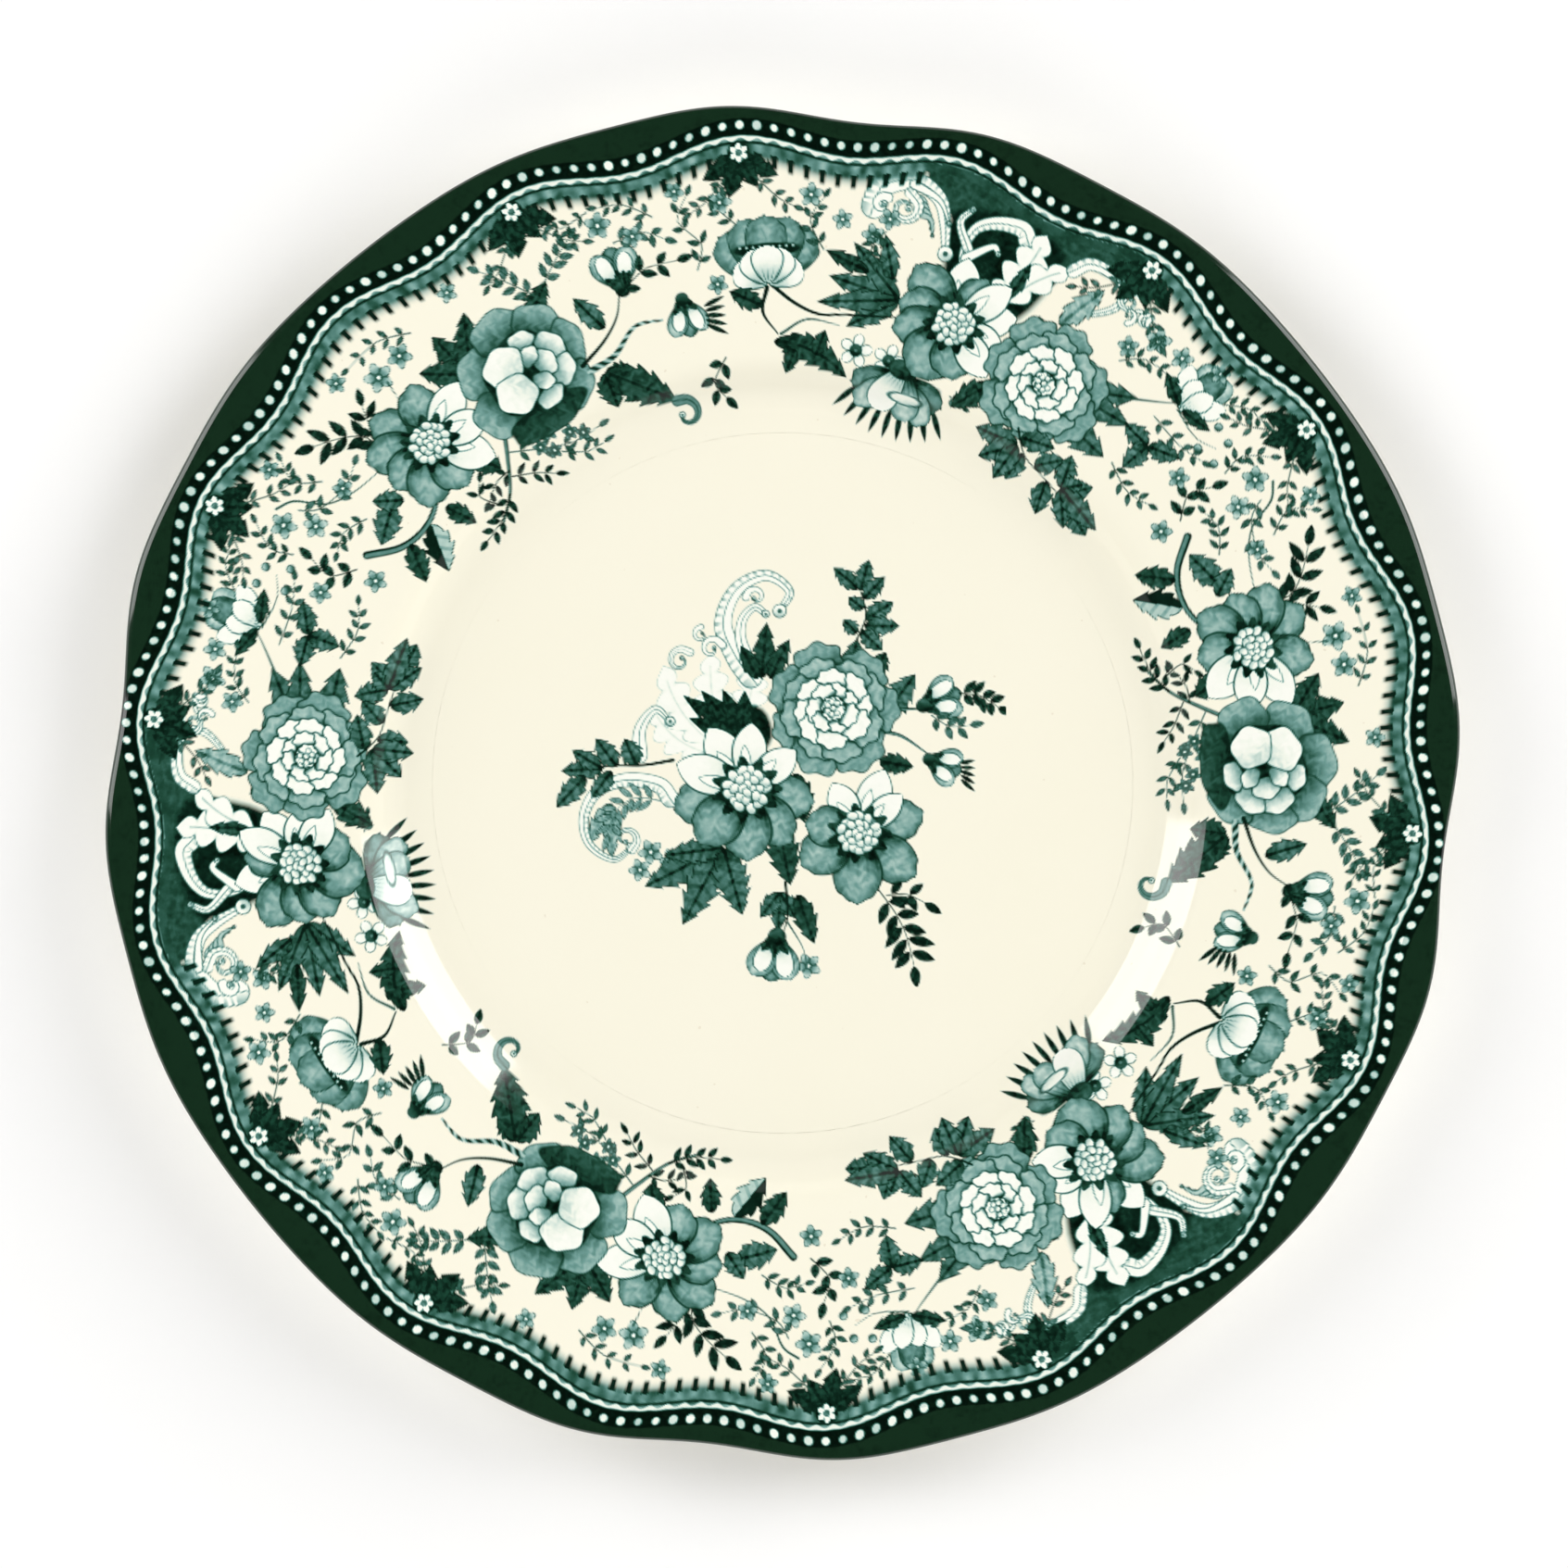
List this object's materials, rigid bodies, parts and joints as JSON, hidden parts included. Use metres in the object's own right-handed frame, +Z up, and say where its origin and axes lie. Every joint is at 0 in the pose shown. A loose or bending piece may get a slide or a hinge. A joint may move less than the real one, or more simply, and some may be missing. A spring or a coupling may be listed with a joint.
{
  "type": "dinner plate",
  "caption": "Lobed china dinner plate with a flat well, a steep cavetto, a wide printed rim, a dark lip band and a low foot ring.",
  "frame": {"origin": "centre of the foot ring's resting plane, at the bottom of the plate", "axes": "+Z up out of the well; +X and +Y across the rim, with one notch of the lobed rim 83.5 degrees round from +X"},
  "size_m": [0.2701, 0.27, 0.0219],
  "materials": {
    "clay": "bare fired clay on the foot's resting ring, matt and slightly gritty",
    "clear_glaze": "glossy clear glaze over cream clay",
    "dark_band": "glossy, very dark green, with a string of white pearls",
    "transfer_print": "teal-green engraved transfer print on cream, under a glossy glaze"
  },
  "bodies": {
    "root": {"clay_body": "clay", "front_glaze": "clear_glaze", "back_glaze": "clear_glaze", "recess_glaze": "clear_glaze", "edge_band": "dark_band", "border_panel_a_1": "transfer_print", "border_panel_a_2": "transfer_print", "border_panel_a_3": "transfer_print", "border_panel_b_1": "transfer_print", "border_panel_b_2": "transfer_print", "border_panel_b_3": "transfer_print", "centre_spray": "transfer_print"}
  },
  "joints": []
}
